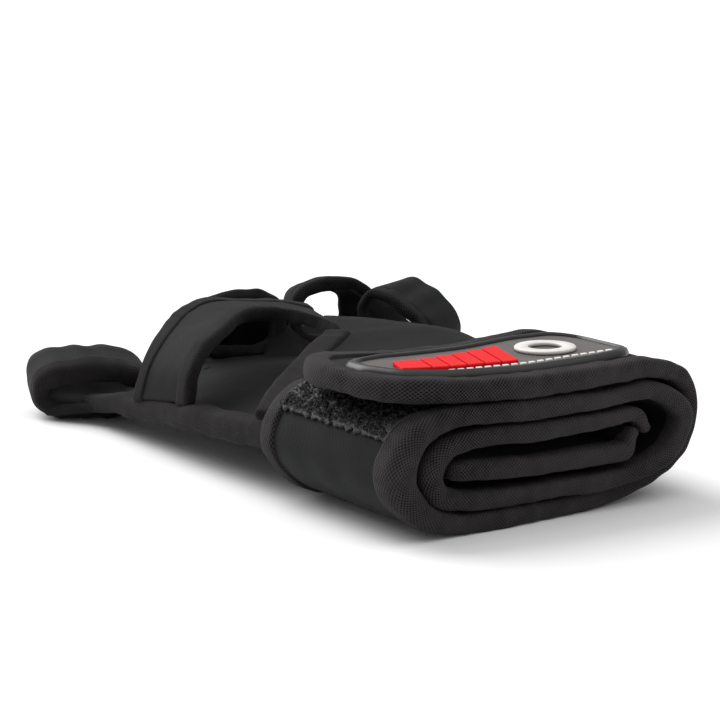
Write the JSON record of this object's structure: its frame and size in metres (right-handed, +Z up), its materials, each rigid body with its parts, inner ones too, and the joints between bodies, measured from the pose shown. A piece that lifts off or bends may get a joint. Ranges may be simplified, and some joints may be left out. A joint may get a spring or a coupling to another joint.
{
  "type": "weightlifting glove",
  "caption": "Right-hand lifting glove lying palm down, with an open thumb side and back, padded finger loops and a long bound wrist wrap rolled up, a rubber patch on its end.",
  "frame": {"origin": "on the floor under the middle of the glove's footprint", "axes": "+Y from the rolled wrist wrap to the fingers, +X across the hand towards the little finger, +Z up"},
  "size_m": [0.1148, 0.1908, 0.0401],
  "materials": {
    "neoprene": "fine smooth jersey over neoprene foam, matt black",
    "knit_tape": "soft knitted binding tape with a fine dotted mesh, warm black",
    "loop_pile": "curly black loop pile for a hook fastener",
    "grey_rubber": "warm grey moulded rubber, satin",
    "black_rubber": "black moulded rubber with a chamfer, satin",
    "red_rubber": "red moulded rubber, satin",
    "white_rubber": "white moulded rubber, satin"
  },
  "bodies": {
    "root": {"strap_panel": "neoprene", "strap_binding": "knit_tape", "loop_pile": "loop_pile", "patch_base": "grey_rubber", "patch_rim": "black_rubber", "patch_bar_1": "red_rubber", "patch_bar_2": "red_rubber", "patch_bar_3": "red_rubber", "patch_bar_4": "red_rubber", "patch_bar_5": "red_rubber", "patch_bar_6": "red_rubber", "patch_ring": "white_rubber", "palm_panel": "neoprene", "palm_wrist_binding": "knit_tape", "palm_edge_binding": "knit_tape", "back_panel": "neoprene", "opening_binding": "knit_tape", "knuckle_band": "neoprene", "band_near_binding": "knit_tape", "band_far_binding": "knit_tape", "index_loop": "neoprene", "index_rim": "knit_tape", "middle_loop": "neoprene", "middle_rim": "knit_tape", "ring_loop": "neoprene", "ring_rim": "knit_tape", "little_loop": "neoprene", "little_rim": "knit_tape"}
  },
  "joints": []
}
